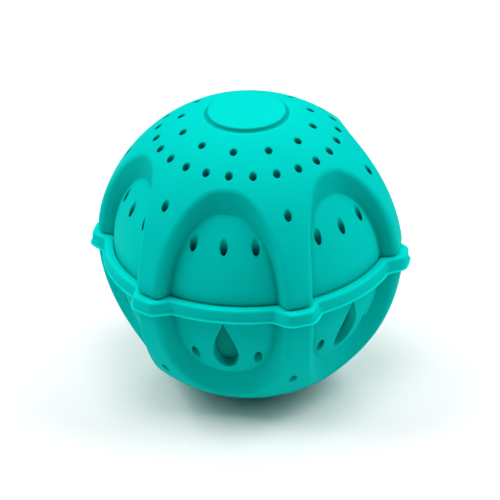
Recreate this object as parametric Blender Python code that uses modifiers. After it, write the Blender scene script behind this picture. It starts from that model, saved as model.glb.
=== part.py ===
"""A laundry ball at its real size, in metres, +Z up, standing on its flat foot at the origin.

Two soft shells plug together round a hard capsule. The capsule's two slotted halves hold a heap
of loose ceramic beads. Shapes are written from the ball's centre. Polar angles are in degrees
from the top of the ball, and azimuths are in degrees from -Y towards +X.
"""

import math
import random

import bmesh
import bpy
import numpy as np
from mathutils import Matrix, Vector

# The soft outer ball
BALL_RADIUS = 0.048
CAVITY_RADIUS = 0.0400
DISC_FACE = 0.047
DISC_RADIUS = 0.0124
DISC_EDGE = 0.0004
GROOVE_FLOOR = 0.04605
GROOVE_RADIUS = 0.0136
GAP = 0.0003

# The rim band round the middle, which belongs to the lower shell
BAND_TOP = 0.0019
BAND_BOTTOM = -0.00235
BAND_BUMP_RADIUS = 0.0497
BAND_WINDOW_RADIUS = 0.0452
BAND_EDGE = 0.0008
BUMP_HALF_WIDTH = 9.0
RAMP_WIDTH = 3.4
SHELF = -0.0014
PLUG_RADIUS = 0.0421

# The six windows and the pillars between them
SECTORS = 6
SECTOR_ANGLE = 360.0 / SECTORS
FIRST_WINDOW = -12.0
FIRST_PILLAR = 18.0
WINDOW_FLOOR = 0.0425
FLOOR_HALF_WIDTH = {"upper": 23.2, "lower": 22.3}
FLOOR_REACH = {"upper": 40.5, "lower": 38.4}
FLOOR_POWER = {"upper": 2.5, "lower": 2.6}
SHOULDER_HALF_WIDTH = {"upper": 25.2, "lower": 25.0}
SHOULDER_REACH = {"upper": 49.3, "lower": 48.5}
SHOULDER_ROUNDING = 1.6
OUTLINE_POINTS = 28
FLOOR_RINGS = (0.28, 0.55, 0.8)
WALL_RINGS = (0.0, 0.3, 0.65, 1.0)
CUTTER_REACH = 1.35

# The small round holes
HOLE_RADIUS = 0.00115
HOLE_SIDES = 6
RING_HOLES = ((25.4, 12), (35.5, 24))
HOLE_START = 0.0028
HOLE_LIMIT = 0.985
PILLAR_HOLE = {"upper": 51.6, "lower": 124.0}
WINDOW_HOLE = {"upper": 62.3, "lower": 115.0}
WINDOW_HOLE_SPREAD = 14.8

# The teardrop openings of the lower windows
TEARDROP_TIP = 96.0
TEARDROP_WIDEST = 114.5
TEARDROP_FOOT = 123.8
TEARDROP_HALF_WIDTH = 5.75
TEARDROP_POINTS = 18

# The capsule inside
CAPSULE_RADIUS = 0.0395
CAPSULE_BORE = 0.0375
LAP_RADIUS = 0.0385
LAP_HEIGHT = 0.0030
SLOT_WIDTH = 0.0030
SLOT_START = 0.0140
SLOT_END = 0.0360
SHORT_SLOT_END = 0.0240

# The beads: name, radius, colour
BEAD_KINDS = (
    ("white_bead", 0.0042, (0.86, 0.85, 0.81)),
    ("grey_bead", 0.0040, (0.33, 0.34, 0.35)),
    ("sand_bead", 0.0038, (0.62, 0.47, 0.30)),
    ("terracotta_bead", 0.0036, (0.46, 0.16, 0.08)),
)
BEAD_COUNT = 48
BEAD_WALL_GAP = 0.0006
HEAP_STEP = 0.0006

TURNED_STEPS = 48
CAPSULE_STEPS = 36
TEAL = (0.0, 0.42, 0.38)
CAPSULE_TEAL = (0.0, 0.33, 0.30)


def direction(polar, azimuth):
    """The unit vector at these two angles."""
    down = math.radians(polar)
    round_axis = math.radians(azimuth)
    across = math.sin(down)
    return Vector((across * math.sin(round_axis), -across * math.cos(round_axis), math.cos(down)))


def level_radius(radius, height):
    """How far a sphere reaches from the axis at this height, or how high it is at this reach."""
    return math.sqrt(radius**2 - height**2)


def arc(radius, start, end, count):
    """Points (distance from the axis, height) along a sphere's side, at count + 1 even angles."""
    angles = [math.radians(start + (end - start) * step / count) for step in range(count + 1)]
    return [(radius * math.sin(angle), radius * math.cos(angle)) for angle in angles]


def polar_at_height(radius, height):
    """The polar angle at which a sphere passes this height."""
    return math.degrees(math.acos(height / radius))


def polar_at_reach(radius, reach):
    """The polar angle, in the upper half, at which a sphere reaches this far from the axis."""
    return math.degrees(math.asin(reach / radius))


def make_material(name, colour, roughness):
    """A Principled material of one colour."""
    material = bpy.data.materials.new(name)
    material.use_nodes = True
    shader = material.node_tree.nodes["Principled BSDF"]
    shader.inputs["Base Color"].default_value = (*colour, 1.0)
    shader.inputs["Roughness"].default_value = roughness
    shader.inputs["Metallic"].default_value = 0.0
    return material


def add_object(name, mesh, collection, parent, material=None):
    """Put a mesh into the scene as a named object under its parent."""
    piece = bpy.data.objects.new(name, mesh)
    collection.objects.link(piece)
    piece.parent = parent
    if material:
        mesh.materials.append(material)
    return piece


def turned_mesh(name, profile):
    """The open outline, in the XZ plane, that a Screw modifier turns about Z."""
    mesh = bpy.data.meshes.new(name)
    points = [(reach, 0.0, height) for reach, height in profile]
    mesh.from_pydata(points, [(index, index + 1) for index in range(len(points) - 1)], [])
    return mesh


def add_turned(name, profile, steps, collection, parent, material=None):
    """A piece turned about the ball's axis."""
    piece = add_object(name, turned_mesh(name, profile), collection, parent, material)
    screw = piece.modifiers.new("turn", "SCREW")
    screw.axis = "Z"
    screw.steps = steps
    screw.render_steps = steps
    screw.use_merge_vertices = True
    screw.merge_threshold = 0.00001
    return piece


def cut(piece, cutter):
    """Take a cutter out of a piece."""
    boolean = piece.modifiers.new(cutter.name, "BOOLEAN")
    boolean.operation = "DIFFERENCE"
    boolean.solver = "EXACT"
    boolean.object = cutter


def add_cutter(name, mesh_maker, collection, parent):
    """A hidden cutter whose mesh is filled by mesh_maker."""
    mesh = bpy.data.meshes.new(name)
    bm = bmesh.new()
    mesh_maker(bm)
    bmesh.ops.recalc_face_normals(bm, faces=bm.faces)
    bm.to_mesh(mesh)
    bm.free()
    cutter = add_object(name, mesh, collection, parent)
    cutter.hide_render = True
    cutter.display_type = "WIRE"
    return cutter


def loft(bm, rings, start=None, end=None):
    """Join rings of points into a skin, closed at each end by a point or by a flat face."""
    loops = [[bm.verts.new(point) for point in ring] for ring in rings]
    count = len(loops[0])
    for lower, upper in zip(loops, loops[1:]):
        for index in range(count):
            following = (index + 1) % count
            bm.faces.new((lower[index], lower[following], upper[following], upper[index]))
    for loop, point in ((loops[0], start), (loops[-1], end)):
        if point is None:
            bm.faces.new(loop)
            continue
        tip = bm.verts.new(point)
        for index in range(count):
            bm.faces.new((loop[index], loop[(index + 1) % count], tip))


def signed_power(value, power):
    """A power that keeps the sign of its base."""
    return math.copysign(abs(value) ** power, value)


def window_ring(azimuth, scale, wall, radius):
    """One ring of a window's cutter.

    scale shrinks the ring within the floor, and wall runs from 0 at the floor's edge to 1 at
    the rounded shoulder.
    """
    points = []
    for index in range(OUTLINE_POINTS):
        turn = 2 * math.pi * (index + 0.5) / OUTLINE_POINTS
        half = "upper" if math.sin(turn) > 0 else "lower"
        width = FLOOR_HALF_WIDTH[half] + wall * (SHOULDER_HALF_WIDTH[half] - FLOOR_HALF_WIDTH[half])
        reach = FLOOR_REACH[half] + wall * (SHOULDER_REACH[half] - FLOOR_REACH[half])
        power = 2.0 / FLOOR_POWER[half]
        sideways = scale * width * signed_power(math.cos(turn), power)
        upwards = scale * reach * signed_power(math.sin(turn), power)
        points.append(radius * direction(90.0 - upwards, azimuth + sideways))
    return points


def wall_radius(wall):
    """The surface radius across a window's wall, steep at the floor and rounded at the shoulder."""
    return BALL_RADIUS - (BALL_RADIUS - WINDOW_FLOOR) * (1.0 - wall) ** SHOULDER_ROUNDING


def keep_half(bm, height, upper):
    """Cut the mesh level at this height, keep one side and close the cut."""
    bmesh.ops.bisect_plane(
        bm,
        geom=bm.verts[:] + bm.edges[:] + bm.faces[:],
        plane_co=(0.0, 0.0, height),
        plane_no=(0.0, 0.0, 1.0),
        clear_inner=upper,
        clear_outer=not upper,
    )
    bmesh.ops.holes_fill(bm, edges=[edge for edge in bm.edges if edge.is_boundary], sides=0)


def window_cutters(half):
    """A filler of meshes with the six sunk windows of one half."""

    def fill(bm):
        for sector in range(SECTORS):
            azimuth = FIRST_WINDOW + sector * SECTOR_ANGLE
            rings = [window_ring(azimuth, scale, 0.0, WINDOW_FLOOR) for scale in FLOOR_RINGS]
            rings += [window_ring(azimuth, 1.0, wall, wall_radius(wall)) for wall in WALL_RINGS]
            outside = CUTTER_REACH * BALL_RADIUS
            rings.append(window_ring(azimuth, 1.0, 1.0, outside))
            middle = direction(90.0, azimuth)
            loft(bm, rings, WINDOW_FLOOR * middle, outside * middle)
        keep_half(bm, 0.5 * BAND_TOP if half == "upper" else BAND_BOTTOM, half == "upper")

    return fill


def bore(bm, surface, polar, azimuth):
    """One upright round cutter, from just outside a surface through into the cavity."""
    start = surface * direction(polar, azimuth)
    side = math.copysign(1.0, start.z)
    far_edge = min(start.xy.length + HOLE_RADIUS, HOLE_LIMIT * CAVITY_RADIUS)
    inner = level_radius(CAVITY_RADIUS, far_edge) - 0.001
    outer = abs(start.z) + HOLE_START
    bmesh.ops.create_cone(
        bm,
        cap_ends=True,
        segments=HOLE_SIDES,
        radius1=HOLE_RADIUS,
        radius2=HOLE_RADIUS,
        depth=outer - inner,
        matrix=Matrix.Translation((start.x, start.y, side * (outer + inner) / 2)),
    )


def hole_cutters(half):
    """A filler of meshes with every small hole of one half."""

    def fill(bm):
        for polar, count in RING_HOLES:
            for index in range(count):
                azimuth = FIRST_WINDOW + index * 360.0 / count
                bore(bm, BALL_RADIUS, polar if half == "upper" else 180.0 - polar, azimuth)
        for sector in range(SECTORS):
            bore(bm, BALL_RADIUS, PILLAR_HOLE[half], FIRST_PILLAR + sector * SECTOR_ANGLE)
            window = FIRST_WINDOW + sector * SECTOR_ANGLE
            for side in (-1, 0, 1) if half == "upper" else (-1, 1):
                bore(bm, WINDOW_FLOOR, WINDOW_HOLE[half], window + side * WINDOW_HOLE_SPREAD)

    return fill


def teardrop_half_width(polar):
    """Half the teardrop's width, in degrees of azimuth, at this polar angle."""
    if polar < TEARDROP_WIDEST:
        along = (polar - TEARDROP_TIP) / (TEARDROP_WIDEST - TEARDROP_TIP)
        return TEARDROP_HALF_WIDTH * math.sin(math.pi / 2 * along) ** 1.15
    along = (polar - TEARDROP_WIDEST) / (TEARDROP_FOOT - TEARDROP_WIDEST)
    return TEARDROP_HALF_WIDTH * math.sqrt(max(0.0, 1.0 - along**2))


def teardrop_ring(azimuth, radius):
    """The teardrop's outline on a sphere, pointed at the top and round at the foot."""
    count = TEARDROP_POINTS // 2
    points = []
    for index in range(2 * count):
        share = (1.0 - math.cos(math.pi * index / count)) / 2
        polar = TEARDROP_TIP + share * (TEARDROP_FOOT - TEARDROP_TIP)
        side = 1 if index < count else -1
        sideways = side * teardrop_half_width(polar)
        points.append(radius * direction(polar, azimuth + sideways))
    return points


def teardrop_cutters(bm):
    """The six teardrops, cut towards the ball's centre."""
    for sector in range(SECTORS):
        azimuth = FIRST_WINDOW + sector * SECTOR_ANGLE
        rings = [teardrop_ring(azimuth, radius) for radius in (CAPSULE_RADIUS, BALL_RADIUS)]
        loft(bm, rings)


def band_reach(offset):
    """The band's radius at this azimuth from a window's middle: set back, with a ramp to the bump."""
    ramp = abs(offset) - (SECTOR_ANGLE / 2 - BUMP_HALF_WIDTH)
    rise = max(0.0, ramp / RAMP_WIDTH)
    return BAND_WINDOW_RADIUS + rise * (BAND_BUMP_RADIUS - BAND_WINDOW_RADIUS)


def band_relief_cutters(bm):
    """Six curved blocks that set the band back over the windows, between its bumps."""
    low = BAND_BOTTOM - 0.0006
    high = BAND_TOP + 0.001
    outside = BAND_BUMP_RADIUS + 0.001
    flat_half = SECTOR_ANGLE / 2 - BUMP_HALF_WIDTH
    full_half = flat_half + 1.05 * RAMP_WIDTH
    offsets = [-full_half, *[flat_half * step / 4 for step in range(-4, 5)], full_half]
    for sector in range(SECTORS):
        window = FIRST_WINDOW + sector * SECTOR_ANGLE
        rings = []
        for offset in offsets:
            flat = direction(90.0, window + offset)
            reach = band_reach(offset)
            section = (
                (outside, low),
                (reach, low),
                (reach, BAND_TOP - BAND_EDGE),
                (reach - BAND_EDGE, BAND_TOP),
                (reach - BAND_EDGE, high),
                (outside, high),
            )
            rings.append([flat * across + Vector((0.0, 0.0, height)) for across, height in section])
        loft(bm, rings)


def slot_cutters(half):
    """A filler of meshes with the upright slots of one half of the capsule."""

    def fill(bm):
        sign = 1 if half == "upper" else -1
        for index in range(2 * SECTORS):
            azimuth = FIRST_WINDOW + index * SECTOR_ANGLE / 2
            end = SHORT_SLOT_END if half == "lower" and index % 2 == 0 else SLOT_END
            length = end - SLOT_START
            height = 0.036
            place = Matrix.Rotation(math.radians(azimuth), 4, "Z")
            place @= Matrix.Translation((0.0, -(SLOT_START + end) / 2, sign * 0.026))
            place @= Matrix.Diagonal((SLOT_WIDTH, length, height, 1.0))
            bmesh.ops.create_cube(bm, size=1.0, matrix=place)

    return fill


def disc_profile():
    """The raised disc and its shallow groove, from the axis out to the sphere."""
    return [
        (0.0, DISC_FACE),
        (DISC_RADIUS - DISC_EDGE, DISC_FACE),
        (DISC_RADIUS, DISC_FACE - DISC_EDGE),
        (DISC_RADIUS + 0.0001, GROOVE_FLOOR),
    ]


def upper_shell_profile():
    """Down the outside from the disc, round the foot and the plug, and up the cavity."""
    foot = BAND_TOP + GAP
    start = polar_at_reach(BALL_RADIUS, GROOVE_RADIUS)
    end = polar_at_height(BALL_RADIUS, foot)
    plug_foot = SHELF + GAP
    return [
        *disc_profile(),
        *arc(BALL_RADIUS, start, end, 11),
        (PLUG_RADIUS, foot),
        (PLUG_RADIUS, plug_foot),
        (CAVITY_RADIUS, plug_foot),
        *arc(CAVITY_RADIUS, 90.0, 0.0, 8),
    ]


def lower_shell_profile():
    """From the bottom of the cavity up to the shelf, over the band and down the outside."""
    socket = PLUG_RADIUS + GAP
    start = polar_at_height(BALL_RADIUS, BAND_BOTTOM)
    end = 180.0 - polar_at_reach(BALL_RADIUS, GROOVE_RADIUS)
    return [
        *arc(CAVITY_RADIUS, 180.0, polar_at_height(CAVITY_RADIUS, SHELF), 8),
        (socket, SHELF),
        (socket, BAND_TOP),
        (BAND_BUMP_RADIUS - BAND_EDGE, BAND_TOP),
        (BAND_BUMP_RADIUS, BAND_TOP - BAND_EDGE),
        (BAND_BUMP_RADIUS, BAND_BOTTOM),
        *arc(BALL_RADIUS, start, end, 11),
        *[(reach, -height) for reach, height in reversed(disc_profile())],
    ]


def capsule_cap_profile():
    """Down the dome's outside, round the skirt and up the inside."""
    step = LAP_HEIGHT + GAP
    skirt = LAP_RADIUS + GAP / 2
    return [
        *arc(CAPSULE_RADIUS, 0.0, polar_at_height(CAPSULE_RADIUS, GAP), 9),
        (skirt, GAP),
        (skirt, step),
        *arc(CAPSULE_BORE, polar_at_height(CAPSULE_BORE, step), 0.0, 8),
    ]


def capsule_base_profile():
    """From the bottom of the bowl up over the collar and down the outside."""
    collar = LAP_RADIUS - GAP / 2
    return [
        *arc(CAPSULE_BORE, 180.0, 90.0, 9),
        (CAPSULE_BORE, LAP_HEIGHT),
        (collar, LAP_HEIGHT),
        (collar, 0.0),
        *arc(CAPSULE_RADIUS, 90.0, 180.0, 9),
    ]


def heap_spots():
    """Every spot, on even rings round the axis, where a bead may be laid."""
    spots = [(0.0, 0.0)]
    for ring in range(1, int(CAPSULE_BORE / HEAP_STEP)):
        reach = ring * HEAP_STEP
        count = int(2 * math.pi * reach / HEAP_STEP)
        turns = [2 * math.pi * index / count for index in range(count)]
        spots += [(reach * math.cos(turn), reach * math.sin(turn)) for turn in turns]
    return np.array(spots)


def settled_heap(radii):
    """Lay beads one after another, each at the lowest free spot, and return their centres."""
    spots = heap_spots()
    placed = []
    for radius in radii:
        limit = CAPSULE_BORE - BEAD_WALL_GAP - radius
        square = (spots**2).sum(axis=1)
        inside = square < limit**2
        heights = np.where(inside, -np.sqrt(np.maximum(limit**2 - square, 0.0)), np.inf)
        for centre, other in placed:
            clear = radius + other + GAP
            apart = ((spots - centre[:2]) ** 2).sum(axis=1)
            over = centre[2] + np.sqrt(np.maximum(clear**2 - apart, 0.0))
            heights = np.where(apart < clear**2, np.maximum(heights, over), heights)
        lowest = int(np.argmin(heights))
        placed.append((np.array([*spots[lowest], heights[lowest]]), radius))
    return [Vector(centre) for centre, radius in placed]


def add_beads(collection, parent):
    """The heap of ceramic beads, each bead an object, its kinds taken in turn."""
    meshes = {}
    for name, radius, colour in BEAD_KINDS:
        mesh = bpy.data.meshes.new(name)
        bm = bmesh.new()
        bmesh.ops.create_icosphere(bm, subdivisions=2, radius=radius)
        bm.to_mesh(mesh)
        bm.free()
        mesh.shade_smooth()
        mesh.materials.append(make_material(name, colour, 0.6))
        meshes[name] = mesh
    kinds = [BEAD_KINDS[index % len(BEAD_KINDS)] for index in range(BEAD_COUNT)]
    random.Random(BEAD_COUNT).shuffle(kinds)
    centres = settled_heap([radius for name, radius, colour in kinds])
    totals = dict.fromkeys(meshes, 0)
    for (name, radius, colour), centre in zip(kinds, centres):
        totals[name] += 1
        bead = add_object(f"{name}_{totals[name]:02d}", meshes[name], collection, parent)
        bead.location = centre


def main():
    """Build the ball."""
    for old in list(bpy.data.objects):
        bpy.data.objects.remove(old, do_unlink=True)
    parts = bpy.data.collections.new("laundry_ball")
    cutters = bpy.data.collections.new("cutters")
    bpy.context.scene.collection.children.link(parts)
    bpy.context.scene.collection.children.link(cutters)
    middle = bpy.data.objects.new("ball_centre", None)
    middle.location = (0.0, 0.0, DISC_FACE)
    parts.objects.link(middle)

    soft_teal = make_material("soft_teal", TEAL, 0.45)
    hard_teal = make_material("hard_teal", CAPSULE_TEAL, 0.35)

    upper = add_turned("upper_shell", upper_shell_profile(), TURNED_STEPS, parts, middle, soft_teal)
    cut(upper, add_cutter("upper_windows", window_cutters("upper"), cutters, middle))
    cut(upper, add_cutter("upper_holes", hole_cutters("upper"), cutters, middle))

    lower = add_turned("lower_shell", lower_shell_profile(), TURNED_STEPS, parts, middle, soft_teal)
    cut(lower, add_cutter("lower_windows", window_cutters("lower"), cutters, middle))
    cut(lower, add_cutter("band_relief", band_relief_cutters, cutters, middle))
    cut(lower, add_cutter("lower_holes", hole_cutters("lower"), cutters, middle))
    cut(lower, add_cutter("teardrops", teardrop_cutters, cutters, middle))

    cap = add_turned("capsule_cap", capsule_cap_profile(), CAPSULE_STEPS, parts, middle, hard_teal)
    cut(cap, add_cutter("cap_slots", slot_cutters("upper"), cutters, middle))
    base = add_turned("capsule_base", capsule_base_profile(), CAPSULE_STEPS, parts, middle, hard_teal)
    cut(base, add_cutter("base_slots", slot_cutters("lower"), cutters, middle))
    add_beads(parts, middle)


main()
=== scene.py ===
"""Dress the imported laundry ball: two soft shells, a slotted capsule and its ceramic beads.

Everything is in metres, +Z up. Shapes are laid out from the ball's centre. Polar angles are in
degrees from the top of the ball, and azimuths are in degrees from -Y towards +X. The lower shell
and the capsule's base are laid out upside down and turned over at the end, because they repeat
the forms of the upper ones.
"""

import logging
import math
from collections.abc import Iterable, Sequence
from dataclasses import dataclass, field
from enum import Enum

import bmesh
import bpy
import numpy as np
from mathutils import Matrix, Vector, noise
from mathutils.geometry import delaunay_2d_cdt


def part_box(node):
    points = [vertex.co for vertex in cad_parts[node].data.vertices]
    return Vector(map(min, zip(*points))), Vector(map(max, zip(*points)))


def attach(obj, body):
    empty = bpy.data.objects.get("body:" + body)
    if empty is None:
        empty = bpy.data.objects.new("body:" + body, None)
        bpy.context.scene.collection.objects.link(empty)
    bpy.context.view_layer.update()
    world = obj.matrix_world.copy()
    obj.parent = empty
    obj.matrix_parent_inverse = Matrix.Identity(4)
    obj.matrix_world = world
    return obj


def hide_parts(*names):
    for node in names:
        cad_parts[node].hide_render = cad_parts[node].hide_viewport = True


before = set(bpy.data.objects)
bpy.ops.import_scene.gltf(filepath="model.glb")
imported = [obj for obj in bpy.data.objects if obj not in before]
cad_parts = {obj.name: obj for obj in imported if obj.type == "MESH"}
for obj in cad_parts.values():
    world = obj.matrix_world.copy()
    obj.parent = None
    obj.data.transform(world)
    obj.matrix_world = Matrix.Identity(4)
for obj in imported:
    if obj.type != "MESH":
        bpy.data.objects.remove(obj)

LOG = logging.getLogger("laundry_ball")

BALL_CENTRE = Vector((0.0, 0.0, 0.047))
BALL_RADIUS = 0.048
CAVITY_RADIUS = 0.040
# The radius of the sphere that the windows' floors lie on.
WINDOW_FLOOR = 0.0425
CAPSULE_RADIUS = 0.0395
CAPSULE_BORE = 0.0375
BAND_BOTTOM = 0.00235
SECTORS = 6
SECTOR_ANGLE = 360.0 / SECTORS
FIRST_WINDOW = -12.0
# Point mask of painted shade: it darkens the window walls and the pillars' feet in the teal's colour.
PAINTED_SHADE_MASK = "painted_shade_mask"
# Point mask of painted light: it lightens the band's lip and top roll and the teardrops' walls.
PAINTED_LIGHT_MASK = "painted_light_mask"

Loop = list[int]
Ring = list[Vector]
Spot = tuple[float, float]
Tree = bpy.types.NodeTree
Socket = bpy.types.NodeSocket
Colour = tuple[float, float, float]
Values = dict[str, float | Sequence[float]]
Part = tuple[str, Values, dict[str, object]]
Link = tuple[str, str, str, str]

UP_AXIS = Vector((0.0, 0.0, 1.0))
OUT, IN, UP, DOWN = (1.0, 0.0), (-1.0, 0.0), (0.0, 1.0), (0.0, -1.0)
# How far a small rounding onto a sphere runs up, and where it turns on the way.
ROUND_UP = 0.0003
ROUND_IN = 0.00008
# The round at the capsule's foot: steps in from its sphere and up from the foot.
FOOT_ROUND = ((0.00001, 0.00025), (0.00008, 0.00008), (0.00025, 0.0))
# Heights that split the long faces of the capsule's lapped rims in two.
CAP_MIDDLE = 0.0017
BASE_MIDDLE = -0.0014
# How a face is filled: the spots' least distance from its edge, as a share of their spacing, how
# many spots are measured at once, and the spacings in millimetres.
EDGE_CLEARANCE = 0.62
CHUNK = 2000
LEDGE_SPACING = 1.2
CAVITY_SPACING = 2.0


class Half(Enum):
    """Which half of the ball a piece belongs to, with the way up it is laid out."""

    UPPER = 1
    LOWER = -1


class BeadKind(Enum):
    """The four kinds of bead, by their slot names in the record."""

    WHITE = "white_bead"
    GREY = "grey_bead"
    SAND = "sand_bead"
    TERRACOTTA = "terracotta_bead"


def direction(polar: float, azimuth: float) -> Vector:
    """The unit vector at these two angles.

    Args:
        polar: Degrees from the top of the ball.
        azimuth: Degrees from -Y towards +X.

    Returns:
        The vector.
    """
    down = math.radians(polar)
    turn = math.radians(azimuth)
    across = math.sin(down)
    return Vector((across * math.sin(turn), -across * math.cos(turn), math.cos(down)))


def level(point: Vector) -> Vector:
    """The same point with no height."""
    return Vector((point.x, point.y, 0.0))


def other_leg(radius: float, leg: float) -> float:
    """How high a sphere is at this reach, or how far it reaches at this height."""
    return math.sqrt(max(0.0, radius * radius - leg * leg))


def bend(start: Vector, corner: Vector, end: Vector, share: float) -> Vector:
    """A point on the round that leaves start towards corner and arrives at end."""
    rest = 1.0 - share
    return rest * rest * start + 2.0 * rest * share * corner + share * share * end


def even_steps(start: float, end: float, count: int) -> list[float]:
    """Evenly spaced values from start to end, both included."""
    return [start + (end - start) * step / count for step in range(count + 1)]


def circle(azimuths: Sequence[float], reach: float, height: float) -> Ring:
    """A level circle of points at these azimuths."""
    return [reach * direction(90.0, azimuth) + height * UP_AXIS for azimuth in azimuths]


def full_turn(count: int) -> list[float]:
    """Evenly spaced azimuths all round."""
    return even_steps(0.0, 360.0, count)[:-1]


def azimuth_of(point: Vector) -> float:
    """A point's azimuth, in degrees."""
    return math.degrees(math.atan2(point.x, -point.y))


def headings(loop: Ring) -> Ring:
    """The way on along a closed loop at each of its points.

    Args:
        loop: Its points, in order.

    Returns:
        A unit vector for each point.
    """
    found = []
    for index, point in enumerate(loop):
        ahead = (loop[(index + 1) % len(loop)] - point).normalized()
        behind = (point - loop[index - 1]).normalized()
        found.append((ahead + behind).normalized())
    return found


def insides(loop: Ring) -> Ring:
    """The level direction inwards at each point of a closed level loop round the axis."""
    return [Vector((-along.y, along.x, 0.0)) for along in headings(loop)]


def softened(corner: Spot, before: Spot, after: Spot, size: float = 0.0002) -> list[Spot]:
    """Round a profile's sharp corner off with three points.

    Args:
        corner: The corner's reach and height.
        before: The way back along the profile, as a unit step.
        after: The way on along it.
        size: How far from the corner the rounding starts.

    Returns:
        The points' reaches and heights.
    """
    parts = ((size, 0.0), (0.3 * size, 0.3 * size), (0.0, size))
    return [
        (corner[0] + back * before[0] + on * after[0], corner[1] + back * before[1] + on * after[1])
        for back, on in parts
    ]


def onto_sphere(radius: float, height: float, start: float, turn: float) -> list[Spot]:
    """The end of a level step inwards, rounded off onto a sphere.

    Args:
        radius: The sphere's radius.
        height: The step's height.
        start: How far outside that radius the rounding starts.
        turn: How far outside it the rounding turns upwards.

    Returns:
        The points' reaches and heights.
    """
    end = height + ROUND_UP
    return [(radius + start, height), (radius + turn, height + ROUND_IN), (other_leg(radius, end), end)]


def respaced(path: np.ndarray, count: int) -> np.ndarray:
    """Lay points at even distances along a path.

    Args:
        path: Points, one a row, close together.
        count: How many points to return, both ends included.

    Returns:
        The evenly spaced points.
    """
    steps = np.linalg.norm(np.diff(path, axis=0), axis=1)
    along = np.concatenate([[0.0], np.cumsum(steps)])
    wanted = np.linspace(0.0, along[-1], count)
    return np.stack([np.interp(wanted, along, path[:, axis]) for axis in range(path.shape[1])], axis=1)


def surface_normals(rings: Sequence[Ring], closed: bool, outward: Vector) -> list[list[Vector]]:
    """The true normals of a sheet given ring by ring.

    Args:
        rings: The sheet's rings, each with the same number of points.
        closed: Whether each ring closes on itself.
        outward: Roughly the way the sheet faces at the first ring's first point.

    Returns:
        A normal for each point, ring by ring.
    """
    grid = np.array([[tuple(point) for point in ring] for ring in rings])
    if closed:
        along = np.roll(grid, -1, axis=1) - np.roll(grid, 1, axis=1)
    else:
        along = np.gradient(grid, axis=1)
    steps = np.diff(grid, axis=0)
    steps /= np.maximum(np.linalg.norm(steps, axis=2, keepdims=True), 1e-12)
    across = np.concatenate([steps[:1], steps[:-1] + steps[1:], steps[-1:]])
    normals = np.cross(along, across)
    normals /= np.maximum(np.linalg.norm(normals, axis=2, keepdims=True), 1e-15)
    if normals[0, 0] @ np.array(outward) < 0:
        normals = -normals
    return [[Vector(normal) for normal in row] for row in normals]


@dataclass(frozen=True)
class Dome:
    """Part of a sphere about the ball's centre, laid flat about a pole so that it can be filled."""

    radius: float
    pole: Vector = field(default_factory=lambda: UP_AXIS.copy())
    facing: int = 1

    def tangents(self) -> tuple[Vector, Vector]:
        """Two directions across the pole.

        Returns:
            Unit vectors, square to the pole and to each other.
        """
        first = UP_AXIS.cross(self.pole)
        if first.length < 1e-6:
            first = Vector((1.0, 0.0, 0.0))
        first.normalize()
        return first, self.pole.cross(first)

    def flat(self, point: Vector) -> tuple[float, float]:
        """Where a point of the dome lies once it is laid flat, in millimetres.

        Args:
            point: The point.

        Returns:
            Its distances from the pole along both tangents.
        """
        first, second = self.tangents()
        way = point.normalized()
        across = Vector((way.dot(first), way.dot(second)))
        angle = math.atan2(across.length, way.dot(self.pole))
        if across.length < 1e-9:
            return (0.0, 0.0)
        across *= 1000.0 * self.radius * angle / across.length
        return (across.x, across.y)

    def lift(self, spot: Sequence[float]) -> Vector:
        """The point of the dome that lies at this flat spot.

        Args:
            spot: The distances from the pole along both tangents, in millimetres.

        Returns:
            The point.
        """
        first, second = self.tangents()
        length = math.hypot(spot[0], spot[1])
        angle = length / (1000.0 * self.radius)
        if length < 1e-9:
            return self.radius * self.pole
        side = (spot[0] * first + spot[1] * second) / length
        return self.radius * (math.cos(angle) * self.pole + math.sin(angle) * side)

    def normal(self, point: Vector) -> Vector:
        """The dome's normal at one of its points."""
        return self.facing * point.normalized()


@dataclass(frozen=True)
class Ledge:
    """A level flat face at one height."""

    height: float
    facing: int = 1

    def flat(self, point: Vector) -> tuple[float, float]:
        """Where a point of the ledge lies, in millimetres."""
        return (1000.0 * point.x, 1000.0 * point.y)

    def lift(self, spot: Sequence[float]) -> Vector:
        """The point of the ledge at this flat spot."""
        return Vector((spot[0] / 1000.0, spot[1] / 1000.0, self.height))

    def normal(self, point: Vector) -> Vector:
        """The ledge's normal, the same at every point."""
        return Vector((0.0, 0.0, self.facing))


Face = Dome | Ledge


def inside_loops(spots: np.ndarray, loops: Sequence[np.ndarray]) -> np.ndarray:
    """Which spots lie inside an odd number of loops.

    Args:
        spots: The spots, one a row.
        loops: The loops' points, one a row.

    Returns:
        A truth value for each spot.
    """
    inside = np.zeros(len(spots), bool)
    for loop in loops:
        start = loop
        end = np.roll(loop, -1, axis=0)
        straddles = (start[None, :, 1] > spots[:, None, 1]) != (end[None, :, 1] > spots[:, None, 1])
        rise = np.where(end[:, 1] == start[:, 1], 1e-12, end[:, 1] - start[:, 1])
        run = (end[:, 0] - start[:, 0]) / rise
        crossing = start[None, :, 0] + (spots[:, None, 1] - start[None, :, 1]) * run[None, :]
        hits = (straddles & (spots[:, None, 0] < crossing)).sum(axis=1)
        inside ^= hits % 2 == 1
    return inside


def filler_spots(loops: Sequence[np.ndarray], spacing: float) -> np.ndarray:
    """Staggered rows of spots inside the loops, kept clear of them.

    Args:
        loops: The loops' flat points, in millimetres. Every loop inside another is a hole.
        spacing: The distance between neighbours, in millimetres.

    Returns:
        The spots, one a row.
    """
    edge = np.concatenate(loops)
    low = edge.min(axis=0)
    high = edge.max(axis=0)
    rows = np.arange(low[1], high[1], spacing * math.sqrt(3.0) / 2.0)
    spots = [
        (across + (index % 2) * spacing / 2.0, row)
        for index, row in enumerate(rows)
        for across in np.arange(low[0], high[0], spacing)
    ]
    found = np.array(spots)
    found = found[inside_loops(found, loops)]
    clear = np.ones(len(found), bool)
    for part in np.array_split(np.arange(len(found)), max(1, len(found) // CHUNK)):
        apart = ((found[part, None, :] - edge[None, :, :]) ** 2).sum(axis=2).min(axis=1)
        clear[part] = apart > (EDGE_CLEARANCE * spacing) ** 2
    return found[clear]


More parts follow.
